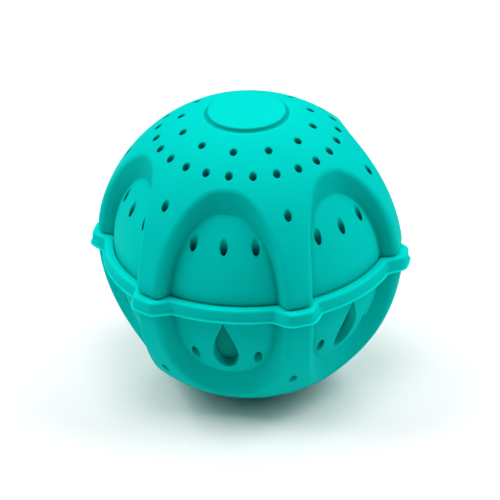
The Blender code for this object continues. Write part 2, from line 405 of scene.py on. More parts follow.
def placed(name: str, data: bpy.types.ID, spot: Vector) -> bpy.types.Object:
    """Put an object with this data in the scene.

    Args:
        name: The object's name.
        data: Its mesh, lamp or camera.
        spot: Where it is.

    Returns:
        The object.
    """
    made = bpy.data.objects.new(name, data)
    bpy.context.scene.collection.objects.link(made)
    made.location = spot
    return made


def stand_for(made: bpy.types.Object, name: str, body: str, finish: "Finish") -> None:
    """Give a piece its finish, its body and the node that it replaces.

    Args:
        made: The piece.
        name: The node that it replaces.
        body: The body that it rides on.
        finish: Its finish.
    """
    made.data.materials.append(finish.material())
    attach(made, body)
    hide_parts(name)


@dataclass
class Skin:
    """A closed mesh gathered ring by ring, which keeps the true normal of each surface."""

    points: list[Vector] = field(default_factory=list)
    normals: list[Vector] = field(default_factory=list)
    faces: list[tuple[int, ...]] = field(default_factory=list)
    # Per point: how strongly painted shade darkens it, and how strongly painted light lightens it.
    painted_shade: dict[int, float] = field(default_factory=dict)
    edge: dict[int, float] = field(default_factory=dict)

    def add(self, points: Iterable[Vector], normals: Iterable[Vector]) -> Loop:
        """Take in points with their normals, and return their numbers.

        Args:
            points: The points.
            normals: A normal for each.

        Returns:
            The points' numbers.
        """
        start = len(self.points)
        self.points.extend(points)
        self.normals.extend(normals)
        return list(range(start, len(self.points)))

    def mark_painted_shade(self, loops: Sequence[Loop], across: Sequence[float], along: Sequence[float]) -> None:
        """Say how strongly painted shade darkens each point of these rows, from 0 to 1.

        Args:
            loops: The rows.
            across: A share for each row.
            along: A share for each place in a row.
        """
        for loop, share in zip(loops, across):
            self.painted_shade.update(zip(loop, (share * part for part in along)))

    def add_rings(self, rings: Sequence[Ring], closed: bool, outward: Vector) -> list[Loop]:
        """Take in a sheet's rings and join each to the next.

        Args:
            rings: The rings, each with the same number of points.
            closed: Whether each ring closes on itself.
            outward: Roughly the way the sheet faces at the first ring's first point.

        Returns:
            The rings' loops.
        """
        normals = surface_normals(rings, closed, outward)
        loops = [self.add(ring, row) for ring, row in zip(rings, normals)]
        for first, second in zip(loops, loops[1:]):
            self.bridge(first, second, closed)
        return loops

    def bridge(self, first: Loop, second: Loop, closed: bool = True) -> None:
        """Join two rows of the same number of points with faces.

        Args:
            first: One row.
            second: The other.
            closed: Whether both close on themselves.
        """
        count = len(first)
        for index in range(count if closed else count - 1):
            after = (index + 1) % count
            self.faces.append((first[index], first[after], second[after], second[index]))

    def close(self, loop: Loop, tip: Vector, normal: Vector) -> None:
        """Close a ring with faces that meet at one point.

        Args:
            loop: The ring.
            tip: The point.
            normal: The point's normal.
        """
        middle = self.add([tip], [normal])[0]
        for index, start in enumerate(loop):
            self.faces.append((start, loop[(index + 1) % len(loop)], middle))

    def fill(self, face: Face, loops: Sequence[Loop], spacing: float) -> None:
        """Fill the face between loops with even triangles.

        Args:
            face: The surface that the loops lie on.
            loops: The outer loop and the loops of the openings in it.
            spacing: The triangles' size, in millimetres.
        """
        flats = [np.array([face.flat(self.points[index]) for index in loop]) for loop in loops]
        spots = filler_spots(flats, spacing)
        edge = [index for loop in loops for index in loop]
        fresh = [face.lift(spot) for spot in spots.tolist()]
        numbers = edge + self.add(fresh, [face.normal(point) for point in fresh])
        flat = np.concatenate([*flats, spots])
        sides = []
        start = 0
        for loop in loops:
            count = len(loop)
            sides += [(start + index, start + (index + 1) % count) for index in range(count)]
            start += count
        made = delaunay_2d_cdt([Vector(spot) for spot in flat], sides, [], 0, 1e-7)
        source = [origins[0] if origins else -1 for origins in made[3]]
        triangles = [tuple(source[corner] for corner in corners) for corners in made[2]]
        middles = np.array([flat[list(corners)].mean(axis=0) for corners in triangles])
        kept = inside_loops(middles, flats)
        for corners, keep in zip(triangles, kept):
            if keep and -1 not in corners:
                self.faces.append(tuple(numbers[corner] for corner in corners))

    def lay(self, cuts: Sequence["Cut"], outside: Face, inside: Face) -> tuple[list[Loop], list[Loop]]:
        """Add the walls of openings, and return their loops outside and their loops inside."""
        pairs = [cut.lay(self, outside, inside) for cut in cuts]
        return [mouth for mouth, back in pairs], [back for mouth, back in pairs]

    def face_ball(self, loop: Loop) -> None:
        """Let the normals of a loop that lies on a sphere point away from its centre."""
        for number in loop:
            self.normals[number] = self.points[number].normalized()

    def piece(self, name: str, half: Half) -> bpy.types.Object:
        """Make the object, turned over if it belongs to the lower half.

        Args:
            name: The object's name.
            half: The half that it belongs to.

        Returns:
            The object, at the ball's centre.
        """
        flip = Vector((1.0, 1.0, float(half.value)))
        mesh = bpy.data.meshes.new(name)
        mesh.from_pydata([flip * point for point in self.points], [], self.faces)
        gathered = bmesh.new()
        gathered.from_mesh(mesh)
        bmesh.ops.recalc_face_normals(gathered, faces=gathered.faces)
        gathered.to_mesh(mesh)
        open_edges = sum(not edge.is_manifold for edge in gathered.edges)
        gathered.free()
        mesh.shade_smooth()
        mesh.normals_split_custom_set_from_vertices([flip * normal for normal in self.normals])
        # Store the painted shade and the painted light as point masks.
        for mask_name, marks in ((PAINTED_SHADE_MASK, self.painted_shade), (PAINTED_LIGHT_MASK, self.edge)):
            if marks:
                mask = mesh.attributes.new(mask_name, "FLOAT", "POINT")
                values = [marks.get(index, 0.0) for index in range(len(self.points))]
                mask.data.foreach_set("value", values)
        LOG.info("%s: %d faces, %d open edges", name, len(mesh.polygons), open_edges)
        return placed(name, mesh, BALL_CENTRE)


@dataclass(frozen=True)
class Cut:
    """An opening through a wall: its outline on the outside and on the inside."""

    mouth: Ring
    back: Ring
    rim: float = 0.00035
    lip: float = 1.2
    back_rim: float = 0.0002
    back_lip: float = 0.5
    # How strongly painted light lightens the opening's walls.
    painted_light: float = 0.0

    def rounded(self, outline: Ring, inward: Ring, face: Face, rim: float, lip: float) -> list[Ring]:
        """The rings that turn from a face over a rounded edge into the opening.

        Args:
            outline: The opening's sharp outline on the face.
            inward: The way into the opening at each point.
            face: The surface that the opening is in.
            rim: The width of the rounding.
            lip: How much wider the rounding is where the edge is thin.

        Returns:
            The rings, from the one on the face to the one in the opening.
        """
        middle = sum(outline, Vector()) / len(outline)
        turns = []
        for point, heading, way in zip(outline, headings(outline), inward):
            aside = heading.cross(face.normal(point)).normalized()
            if aside.dot(point - middle) < 0:
                aside.negate()
            width = rim * (1.0 + lip * max(0.0, aside.dot(way)))
            start = point + width * aside
            if isinstance(face, Dome):
                start = face.radius * start.normalized()
            turns.append((start, point, point + width * way))
        return [[bend(*turn, share) for turn in turns] for share in even_steps(0.0, 1.0, 5)]

    def lay(self, skin: Skin, outside: Face, inside: Face) -> tuple[Loop, Loop]:
        """Add the opening's walls to a skin.

        Args:
            skin: The mesh that the opening belongs to.
            outside: The surface that the mouth is on.
            inside: The surface that the back is on.

        Returns:
            The loops left to fill up to, outside and inside.
        """
        inward = [(back - mouth).normalized() for mouth, back in zip(self.mouth, self.back)]
        rings = self.rounded(self.mouth, inward, outside, self.rim, self.lip)
        rings.append([(mouth + back) / 2.0 for mouth, back in zip(self.mouth, self.back)])
        outward = [-way for way in inward]
        rings += reversed(self.rounded(self.back, outward, inside, self.back_rim, self.back_lip))
        loops = skin.add_rings(rings, True, outside.normal(rings[0][0]))
        # Painted light: mark the opening's walls to be lightened.
        for loop in loops[1:] if self.painted_light else []:
            skin.edge.update(dict.fromkeys(loop, self.painted_light))
        for loop, face in ((loops[0], outside), (loops[-1], inside)):
            for index in loop:
                skin.normals[index] = face.normal(skin.points[index])
        return loops[0], loops[-1]


def upright_cut(outline: Sequence[tuple[float, float]], outer: float, inner: float, lean: float = 0.0) -> Cut:
    """An opening drawn straight up and down between two spheres.

    Args:
        outline: The opening's outline seen from above.
        outer: The radius of the sphere it starts on.
        inner: The radius of the sphere it ends on.
        lean: How far the back leans towards the axis.

    Returns:
        The opening.
    """
    mouth = [Vector((x, y, other_leg(outer, math.hypot(x, y)))) for x, y in outline]
    middle = level(sum(mouth, Vector()) / len(mouth))
    shift = -lean * middle.normalized()
    spots = [level(point) + shift for point in mouth]
    back = [spot + Vector((0.0, 0.0, other_leg(inner, spot.length))) for spot in spots]
    return Cut(mouth, back)


def round_outline(centre: Vector, radius: float, count: int) -> list[tuple[float, float]]:
    """A circle seen from above."""
    turns = [2.0 * math.pi * index / count for index in range(count)]
    return [(centre.x + radius * math.cos(turn), centre.y + radius * math.sin(turn)) for turn in turns]


def slot_outline(azimuth: float, start: float, end: float, width: float) -> list[tuple[float, float]]:
    """A round-ended slot seen from above, running out from the axis.

    Args:
        azimuth: The way it runs.
        start: Its near end's distance from the axis.
        end: Its far end's distance from the axis.
        width: Its width.

    Returns:
        Its outline.
    """
    radius = width / 2.0
    along = direction(90.0, azimuth)
    aside = direction(90.0, azimuth + 90.0)
    reaches = even_steps(start + radius, end - radius, 12)
    points = []
    swings = [math.radians(turn) for turn in even_steps(-90.0, 90.0, 10)[1:-1]]
    for radius, hub, row in ((radius, end - radius, reaches), (-radius, start + radius, reaches[::-1])):
        points += [reach * along - radius * aside for reach in row]
        points += [
            (hub + radius * math.cos(swing)) * along + radius * math.sin(swing) * aside for swing in swings
        ]
    return [(point.x, point.y) for point in points]


@dataclass(frozen=True)
class WindowForm:
    """One half's sunk window: its floor, its drafted wall and its rounded shoulder."""

    floor_half_width: float
    floor_reach: float
    floor_power: float
    shoulder_half_width: float
    shoulder_reach: float
    # How strongly painted shade darkens the wall at the window's crown and at its feet.
    crown_shade: float
    foot_shade: float
    shoulder_round: float = 0.0025
    crease: float = 0.00018
    round_limit: float = 0.9
    # Painted shade on the wall's rings from the crease outwards and on the shoulder, fading over its
    # rounding.
    crease_shade: tuple[float, ...] = (0.5, 0.7, 0.9, 1.0, 1.0, 0.95, 0.9)
    shoulder_shade: float = 0.85
    shoulder_fade: float = 1.3
    points: int = 97
    fine_points: int = 1200
    round_steps: int = 9

    def outline(self, width: float, reach: float, radius: float, height: float) -> np.ndarray:
        """The outline over the top of the window, from its left foot to its right one.

        Args:
            width: Half its width at the ball's middle, in degrees.
            reach: How far it goes from the ball's middle, in degrees.
            radius: The radius that it lies on.
            height: The height of its feet.

        Returns:
            Rows of azimuth from the window's middle, and degrees up from the ball's middle.
        """
        power = 2.0 / self.floor_power
        foot = math.degrees(math.asin(height / radius))
        start = math.asin((foot / reach) ** (1.0 / power))
        turns = np.linspace(math.pi - start, start, self.fine_points)
        aside = width * np.sign(np.cos(turns)) * np.abs(np.cos(turns)) ** power
        upward = reach * np.sin(turns) ** power
        on_ball = np.stack([aside * np.cos(np.radians(upward)), upward], axis=1)
        even = respaced(on_ball, self.points)
        even[:, 0] /= np.cos(np.radians(even[:, 1]))
        return even

    def section(self, crease_way: Vector, shoulder_way: Vector) -> Ring:
        """One section through the wall, from the floor out to the rounded shoulder.

        Args:
            crease_way: The direction of the floor's edge.
            shoulder_way: The direction where the shoulder meets the sphere.

        Returns:
            The section's points.
        """
        overlap = shoulder_way.dot(crease_way)
        aside = (overlap * shoulder_way - crease_way).normalized()
        span = math.acos(min(1.0, overlap))
        radius = min(self.shoulder_round, self.round_limit * WINDOW_FLOOR * math.sin(span))

        def on_floor(angle: float) -> Vector:
            """The floor's point this far round from the shoulder."""
            return Vector((-WINDOW_FLOOR * math.sin(angle), WINDOW_FLOOR * math.cos(angle)))

        corner = on_floor(span)
        start = on_floor(span + self.crease / WINDOW_FLOOR)
        hub = Vector((0.0, BALL_RADIUS - radius))
        chord = hub - corner
        length = math.sqrt(chord.length_squared - radius * radius)
        heading = math.atan2(chord.y, chord.x) + math.asin(radius / chord.length)
        wall = Vector((math.cos(heading), math.sin(heading)))
        touch = corner + length * wall
        first = corner + self.crease * wall
        flats = [bend(start, corner, first, share) for share in even_steps(0.0, 1.0, 4)]
        flats += [first.lerp(touch, share) for share in (0.33, 0.67)]
        from_hub = touch - hub
        opening = math.atan2(from_hub.y, from_hub.x)
        for swing in even_steps(opening, math.pi / 2.0, self.round_steps):
            flats.append(hub + radius * Vector((math.cos(swing), math.sin(swing))))
        return [point.x * aside + point.y * shoulder_way for point in flats]

    def shade_across(self) -> list[float]:
        """How strongly painted shade darkens each ring of the wall, fading out over its rounds."""
        fades = [self.shoulder_fade * share for share in even_steps(0.0, 1.0, self.round_steps)]
        return [*self.crease_shade, *(max(0.0, self.shoulder_shade - fade) for fade in fades)]

    def shade_along(self) -> list[float]:
        """How strongly painted shade darkens the wall at each place along it, from foot to crown to foot."""
        turns = [abs(place) for place in even_steps(-1.0, 1.0, self.points - 1)]
        return [self.crown_shade + (self.foot_shade - self.crown_shade) * turn * turn for turn in turns]

    def wall(self, azimuth: float, height: float) -> list[Ring]:
        """The wall's rings, from the floor's edge out to the shoulder's.

        Args:
            azimuth: The window's middle.
            height: The height of its feet.

        Returns:
            The rings, each from the left foot to the right one.
        """
        floor = self.outline(self.floor_half_width, self.floor_reach, WINDOW_FLOOR, height)
        shoulder = self.outline(self.shoulder_half_width, self.shoulder_reach, BALL_RADIUS, height)
        sections = []
        for low, high in zip(floor, shoulder):
            crease_way = direction(90.0 - low[1], azimuth + low[0])
            sections.append(self.section(crease_way, direction(90.0 - high[1], azimuth + high[0])))
        for section in (sections[0], sections[-1]):
            for index, point in enumerate(section):
                foot = level(point).normalized() * other_leg(point.length, height)
                section[index] = foot + Vector((0.0, 0.0, height))
        return [list(ring) for ring in zip(*sections)]


@dataclass(frozen=True)
class Teardrop:
    """The teardrop opening in a lower window, laid out upside down like its shell.

    Its wall ends just inside the capsule's surface, so that no slit shows between them.
    """

    tip: float = 84.0
    widest: float = 65.5
    foot: float = 56.2
    half_width: float = 5.75
    back_radius: float = 0.0394
    squeeze: float = 0.9
    taper: float = 1.15
    rim: float = 0.0004
    back_rim: float = 0.0003
    # How strongly painted light lightens the opening's walls.
    painted_light: float = 0.12
    points: int = 28
    fine_points: int = 800

    def half_width_at(self, polar: float) -> float:
        """Half the opening's width at this polar angle, in degrees of azimuth.

        Args:
            polar: The polar angle.

        Returns:
            The half width.
        """
        if polar > self.widest:
            along = (self.tip - polar) / (self.tip - self.widest)
            return self.half_width * math.sin(math.pi / 2.0 * along) ** self.taper
        along = (self.widest - polar) / (self.widest - self.foot)
        return self.half_width * math.sqrt(max(0.0, 1.0 - along * along))

    def cut(self, azimuth: float) -> Cut:
        """The opening in the window at this azimuth.

        Args:
            azimuth: The window's middle.

        Returns:
            The opening.
        """
        polars = np.linspace(self.tip, self.foot, self.fine_points)
        side = np.array([[self.half_width_at(polar) * self.squeeze, polar] for polar in polars])
        even = respaced(side, self.points)
        turns = [(aside / self.squeeze, polar) for aside, polar in even]
        turns += [(-aside / self.squeeze, polar) for aside, polar in even[-2:0:-1]]
        ways = [direction(polar, azimuth + aside) for aside, polar in turns]
        mouth = [WINDOW_FLOOR * way for way in ways]
        back = [self.back_radius * way for way in ways]
        return Cut(mouth, back, self.rim, back_rim=self.back_rim, painted_light=self.painted_light)


@dataclass
class SoftShell:
    """What both soft shells share: the dome, its disc, windows, holes and cavity."""

    name: str
    half: Half
    window: WindowForm
    foot_height: float
    ledge: Ledge
    # How strongly painted shadow darkens the foot's rounding towards the ledge.
    painted_foot_shadow: float
    pillar_hole: float
    window_hole: float
    window_hole_sides: tuple[int, ...]
    pillar_lean: float = 0.0
    window_lean: float = 0.0
    hole_radius: float = 0.00115
    window_hole_radius: float = 0.00123
    hole_points: int = 28
    ring_holes: tuple[tuple[float, int], ...] = ((25.4, 12), (35.5, 24))
    window_hole_spread: float = 14.8
    disc_face: float = 0.047
    disc_radius: float = 0.0121
    groove_floor: float = 0.04562
    groove_radius: float = 0.0143
    groove_turn: float = 0.0009
    disc_foot: tuple[Spot, ...] = ((0.0005, 0.0), (0.00024, 0.00004), (0.0001, 0.00014), (0.00003, 0.0003))
    disc_edge: tuple[Spot, ...] = (
        (0.0, -0.00046),
        (-0.00006, -0.00022),
        (-0.00018, -0.00008),
        (-0.00034, -0.00002),
        (-0.0005, 0.0),
    )
    disc_reaches: tuple[float, ...] = (0.0105, 0.0088, 0.0066, 0.0044, 0.0022)
    disc_points: int = 96
    foot_steps: int = 28
    pillar_steps: int = 9
    floor_pole: float = 72.0
    spacing: float = 1.15
    skin: Skin = field(default_factory=Skin)

    def window_azimuths(self) -> list[float]:
        """The middles of the windows."""
        return [FIRST_WINDOW + index * SECTOR_ANGLE for index in range(SECTORS)]

    def bore(self, outer: float, way: Vector, radius: float, lean: float = 0.0) -> Cut:
        """A small upright hole that starts in this direction on a sphere and ends in the cavity."""
        return upright_cut(round_outline(outer * way, radius, self.hole_points), outer, CAVITY_RADIUS, lean)

    def bores(self) -> tuple[list[Cut], list[list[Cut]]]:
        """The small upright holes.

        Returns:
            Those in the dome, and those in each window's floor.
        """
        dome = [
            self.bore(BALL_RADIUS, direction(polar, FIRST_WINDOW + index * 360.0 / count), self.hole_radius)
            for polar, count in self.ring_holes
            for index in range(count)
        ]
        floors = []
        for azimuth in self.window_azimuths():
            way = direction(self.pillar_hole, azimuth + SECTOR_ANGLE / 2.0)
            dome.append(self.bore(BALL_RADIUS, way, self.hole_radius, self.pillar_lean))
            turns = [azimuth + side * self.window_hole_spread for side in self.window_hole_sides]
            ways = [direction(self.window_hole, turn) for turn in turns]
            holes = [self.bore(WINDOW_FLOOR, way, self.window_hole_radius, self.window_lean) for way in ways]
            floors.append(holes + self.floor_openings(azimuth))
        return dome, floors

    def floor_openings(self, azimuth: float) -> list[Cut]:
        """Other openings in the floor of the window at this azimuth."""
        return []

    def disc_rings(self) -> list[Ring]:
        """The raised disc and its groove, from the sphere in to near the axis.

        Returns:
            Its rings.
        """
        edge = self.disc_radius
        rim = Vector((self.groove_radius, other_leg(BALL_RADIUS, self.groove_radius)))
        turn = rim + self.groove_turn * Vector((-rim.y, rim.x)).normalized()
        foot = [(edge + out, self.groove_floor + up) for out, up in self.disc_foot]
        profile = [tuple(bend(rim, turn, Vector(foot[0]), share)) for share in even_steps(0.0, 1.0, 8)]
        profile += foot[1:]
        profile += [(edge + out, self.disc_face + up) for out, up in self.disc_edge]
        profile += [(reach, self.disc_face) for reach in self.disc_reaches]
        return [circle(full_turn(self.disc_points), reach, height) for reach, height in profile]

    def build_windows(self, floors: Sequence[Sequence[Cut]]) -> tuple[Loop, list[Loop], Loop]:
        """Add the sunk windows.

        Args:
            floors: The openings in each window's floor.

        Returns:
            The contour round the foot, the cavity's loops behind the openings, and the dome's
            outer edge.
        """
        contour: Loop = []
        backs: list[Loop] = []
        dome_edge: Loop = []
        height = self.foot_height
        foot_floor = other_leg(WINDOW_FLOOR, height)
        foot_ball = other_leg(BALL_RADIUS, height)
        walls = [self.window.wall(azimuth, height) for azimuth in self.window_azimuths()]
        for index, (azimuth, rings) in enumerate(zip(self.window_azimuths(), walls)):
            loops = self.skin.add_rings(rings, False, level(rings[0][0]))
            # Painted shade on the window's wall, by ring and by place along it.
            self.skin.mark_painted_shade(loops, self.window.shade_across(), self.window.shade_along())
            self.skin.face_ball(loops[0] + loops[-1])
            half_floor = math.remainder(azimuth_of(rings[0][-1]) - azimuth, 360.0)
            turns = even_steps(azimuth - half_floor, azimuth + half_floor, self.foot_steps)[1:-1]
            foot = circle(turns, foot_floor, height)
            across = self.skin.add(foot, [point.normalized() for point in foot])
            floor = Dome(WINDOW_FLOOR, direction(self.floor_pole, azimuth))
            inner = Dome(CAVITY_RADIUS, facing=-1)
            mouths, behind = self.skin.lay(floors[index], floor, inner)
            backs += behind
            self.skin.fill(floor, [loops[0] + across[::-1], *mouths], self.spacing)
            left = azimuth_of(rings[-1][-1])
            right = azimuth_of(walls[(index + 1) % SECTORS][-1][0])
            right += 360.0 * math.ceil((left - right) / 360.0)
            pillar = circle(even_steps(left, right, self.pillar_steps)[1:-1], foot_ball, height)
            between = self.skin.add(pillar, [point.normalized() for point in pillar])
            contour += [loop[0] for loop in reversed(loops)] + across
            contour += [loop[-1] for loop in loops] + between
            dome_edge += loops[-1] + between
        return contour, backs, dome_edge

    def build_dome(self) -> tuple[Loop, list[Loop]]:
        """Add everything from the contour round the foot up to the disc.

        Returns:
            That contour, and the loops left to fill up to in the cavity.
        """
        holes, floors = self.bores()
        contour, backs, dome_edge = self.build_windows(floors)
        outer = Dome(BALL_RADIUS)
        inner = Dome(CAVITY_RADIUS, facing=-1)
        mouths, behind = self.skin.lay(holes, outer, inner)
        backs += behind
        disc = self.skin.add_rings(self.disc_rings(), True, UP_AXIS)
        self.skin.face_ball(disc[0])
        self.skin.close(disc[-1], self.disc_face * UP_AXIS, UP_AXIS)
        self.skin.fill(outer, [dome_edge, disc[0], *mouths], self.spacing)
        return contour, backs

    def turned_contour(self, contour: Loop) -> Loop:
        """Round the contour over onto the ledge.

        Args:
            contour: The contour's points, all at the foot's height.

        Returns:
            The loop on the ledge.
        """
        depth = self.foot_height - self.ledge.height
        points = [self.skin.points[index] for index in contour]
        shares = even_steps(0.0, 1.0, 7)[1:]
        rings: list[Ring] = [[] for share in shares]
        for point, inward in zip(points, insides(points)):
            low = point.z - depth
            corner = level(point).normalized() * other_leg(point.length, low) + low * UP_AXIS
            end = corner + self.inset(point) * inward
            for ring, share in zip(rings, shares):
                ring.append(bend(point, corner, end, share))
        outward = self.skin.normals[contour[0]]
        normals = surface_normals([points, *rings], True, outward)
        last = contour
        for ring, row in zip(rings, normals[1:]):
            loop = self.skin.add(ring, row)
            # Painted shadow: the foot's rounding darkens the further down it turns, through the painted shade
            # mask.
            for start, index in zip(contour, loop):
                drop = (self.skin.points[start].z - self.skin.points[index].z) / depth
                self.skin.painted_shade[index] = max(self.skin.painted_shade.get(start, 0.0), self.painted_foot_shadow * drop)
            self.skin.bridge(last, loop)
            last = loop
        return last

    def inset(self, point: Vector) -> float:
        """How far the foot's rounding goes sideways at a point, negative for outwards."""
        raise NotImplementedError

    def rim(self) -> list[Loop]:
        """Add the rim from the ledge to the cavity, and return its loops."""
        raise NotImplementedError

    def build(self, finish: "Teal") -> None:
        """Make the whole shell.

        Args:
            finish: Its finish.
        """
        contour, backs = self.build_dome()
        foot = self.turned_contour(contour)
        for index in foot:
            self.skin.normals[index] = self.ledge.normal(self.skin.points[index])
        loops = self.rim()
        edges = [foot, loops[0]] if self.half is Half.UPPER else [loops[0], foot]
        self.skin.fill(self.ledge, edges, LEDGE_SPACING)
        self.skin.fill(Dome(CAVITY_RADIUS, facing=-1), [loops[-1], *backs], CAVITY_SPACING)
        made = self.skin.piece(f"{self.name}_skin", self.half)
        stand_for(made, self.name, self.name, finish)


@dataclass
class UpperShell(SoftShell):
    """The upper soft shell, which plugs into the lower one's rim band."""

    name: str = "upper_shell"
    half: Half = Half.UPPER
    window: WindowForm = WindowForm(
        floor_half_width=23.2,
        floor_reach=41.0,
        floor_power=2.5,
        shoulder_half_width=27.0,
        shoulder_reach=49.9,
        crown_shade=0.95,
        foot_shade=0.75,
    )
    foot_height: float = 0.0062
    ledge: Ledge = Ledge(0.0022, -1)
    painted_foot_shadow: float = 0.6
    pillar_hole: float = 51.6
    window_hole: float = 61.8
    window_hole_sides: tuple[int, ...] = (-1, 0, 1)
    plug_radius: float = 0.0421
    plug_foot: float = -0.0011
    plug_round: float = 0.0003
    plug_steps: tuple[float, ...] = (0.0016, 0.0004)
    plug_points: int = 180
    narrow_inset: float = 0.00028
    more_inset: float = 0.0011

    def inset(self, point: Vector) -> float:
        """How wide the foot's rounding is: narrow under a window, wide under a pillar."""
        share = (level(point).length - WINDOW_FLOOR) / (BALL_RADIUS - WINDOW_FLOOR)
        return self.narrow_inset + self.more_inset * max(0.0, min(1.0, share))

    def rim(self) -> list[Loop]:
        """Add the plug.

        Returns:
            Its loops.
        """
        plug = self.plug_radius
        low = self.plug_foot
        profile = [(plug, height) for height in (self.ledge.height, *self.plug_steps)]
        profile += softened((plug, low), UP, IN, self.plug_round)
        profile += [*softened((CAVITY_RADIUS, low), OUT, UP, self.plug_round), (CAVITY_RADIUS, 0.0)]
        rings = [circle(full_turn(self.plug_points), reach, height) for reach, height in profile]
        return self.skin.add_rings(rings, True, direction(90.0, 0.0))


@dataclass(frozen=True)
class RimBand:
    """The band round the lower shell's rim, laid out upside down with the shell."""

    top: float = -0.0019
    bottom: float = BAND_BOTTOM
    window_radius: float = 0.0452
    bump_radius: float = 0.0498
    crown_half_width: float = 3.0
    bump_half_width: float = 11.3
    lip: float = 0.0007
    lip_start: float = 0.0001
    lip_round: Spot = (0.00006, 0.00034)
    lip_depth: float = 0.00036
    lip_crest: float = 0.0001
    hollow_turns: tuple[float, ...] = (10.0, 25.0, 40.0, 55.0, 70.0, 90.0)
    face_height: float = 0.0008
    crispness: float = 0.22
    plain_steps: int = 28
    bump_steps: int = 44
    socket_radius: float = 0.0424
    shelf: float = 0.0014
    edge_radius: float = 0.0008
    bump_edge: float = 0.0001
    # How strongly painted highlight lightens each ring of the lip and of the top's roll.
    lip_highlight: tuple[float, ...] = (0.0, 0.3, 0.9, 1.0, 1.0, 0.9, 0.7, 0.4, 0.15, 0.0, 0.0, 0.0, 0.0)
    top_highlight: tuple[float, ...] = (0.1, 0.35, 0.6, 0.8, 0.9, 0.9, 0.5)

    def swell(self, aside: float, crispness: float) -> float:
        """How far the band has swollen into a bump.

        Args:
            aside: How many degrees off the bump's middle.
            crispness: How hard the inner corner is at the bump's foot.

        Returns:
            A share from 0 to 1.
        """
        ramp = (abs(aside) - self.crown_half_width) / (self.bump_half_width - self.crown_half_width)
        smooth = 0.5 + 0.5 * math.cos(math.pi * max(0.0, min(1.0, ramp)))
        return max(0.0, (1.0 + crispness) * smooth - crispness)

    def outline(self, crispness: float) -> Ring:
        """The band's outline seen from above, swelling into a bump at each pillar.

        Args:
            crispness: How hard the inner corners are at the bumps' feet.

        Returns:
            Its points, at no height.
        """
        half_plain = SECTOR_ANGLE / 2.0 - self.bump_half_width
        points: Ring = []
        for index in range(SECTORS):
            window = FIRST_WINDOW + index * SECTOR_ANGLE
            bump = window + SECTOR_ANGLE / 2.0
            plain = even_steps(window - half_plain, window + half_plain, self.plain_steps)[:-1]
            points += circle(plain, self.window_radius, 0.0)
            for aside in even_steps(-self.bump_half_width, self.bump_half_width, self.bump_steps)[:-1]:
                swell = self.swell(aside, crispness)
                reach = self.window_radius + swell * (self.bump_radius - self.window_radius)
                points.append(reach * direction(90.0, bump + aside))
        return points

    def rings(self) -> list[Ring]:
        """The band's rings, from its underside over its face and top and down into the socket.

        Returns:
            The rings, whose points lie at the same azimuths.
        """
        outline = self.outline(0.0)
        crisp = self.outline(self.crispness)
        slope = self.bump_edge / (self.bump_radius - self.window_radius)
        edges = [self.edge_radius + slope * (point.length - self.window_radius) for point in outline]
        bottom = self.bottom
        lip = self.lip
        hollow = lip - self.lip_crest
        steps = [(self.lip_start, bottom), *softened((-lip, bottom), OUT, DOWN)]
        steps.append((self.lip_round[0] - lip, bottom - self.lip_round[1]))
        for turn in self.hollow_turns:
            swing = math.radians(turn)
            drop = self.lip_depth + hollow * (1.0 - math.cos(swing))
            steps.append((hollow * (math.sin(swing) - 1.0), bottom - drop))
        steps.append((0.0, self.face_height))
        face = [(offset, 0.0, height) for offset, height in steps] + [(0.0, -1.0, self.top)]
        edge_turns = [math.radians(turn) for turn in even_steps(0.0, 90.0, 6)[1:]]
        roll = [(1.0 - math.cos(swing), math.sin(swing) - 1.0, self.top) for swing in edge_turns]
        rings = []
        for number, (offset, share, height) in enumerate(face + roll):
            ring = []
            up = max(0.0, min(1.0, (bottom - height) / (bottom - self.top)))
            for point, sharp, inside, edge in zip(outline, crisp, insides(outline), edges):
                shift = offset * edge if number >= len(face) else offset
                ring.append(point.lerp(sharp, up) + shift * inside + (height - share * edge) * UP_AXIS)
            rings.append(ring)
        azimuths = [azimuth_of(point) for point in outline]
        socket = self.socket_radius
        shelf = self.shelf
        profile = [*softened((socket, self.top), OUT, UP), (socket, shelf)]
        profile += onto_sphere(CAVITY_RADIUS, shelf, ROUND_UP, ROUND_IN)
        return rings + [circle(azimuths, reach, height) for reach, height in profile]


@dataclass
class LowerShell(SoftShell):
    """The lower soft shell, with the rim band and the teardrops."""

    name: str = "lower_shell"
    half: Half = Half.LOWER
    window: WindowForm = WindowForm(
        floor_half_width=22.3,
        floor_reach=38.8,
        floor_power=2.6,
        shoulder_half_width=26.8,
        shoulder_reach=49.1,
        crown_shade=0.4,
        foot_shade=0.05,
    )
    foot_height: float = 0.0026
    ledge: Ledge = Ledge(BAND_BOTTOM)
    painted_foot_shadow: float = 0.0
    foot_inset: float = -0.0002
    pillar_hole: float = 56.0
    window_hole: float = 63.8
    window_hole_sides: tuple[int, ...] = (-1, 1)
    pillar_lean: float = 0.0016
    window_lean: float = 0.0008
    band: RimBand = RimBand()
    teardrop: Teardrop = Teardrop()

    def floor_openings(self, azimuth: float) -> list[Cut]:
        """The teardrop of the window at this azimuth."""
        return [self.teardrop.cut(azimuth)]

    def inset(self, point: Vector) -> float:
        """How far the foot's rounding goes sideways, which is the same at every point."""
        return self.foot_inset

    def rim(self) -> list[Loop]:
        """Add the band and the socket.

        Returns:
            Their loops.
        """
        loops = self.skin.add_rings(self.band.rings(), True, UP_AXIS)
        # Painted highlight along the band's lip and the roll of its top.
        for loop, painted_light in zip(loops, self.band.lip_highlight + self.band.top_highlight):
            self.skin.edge.update(dict.fromkeys(loop, painted_light))
        return loops


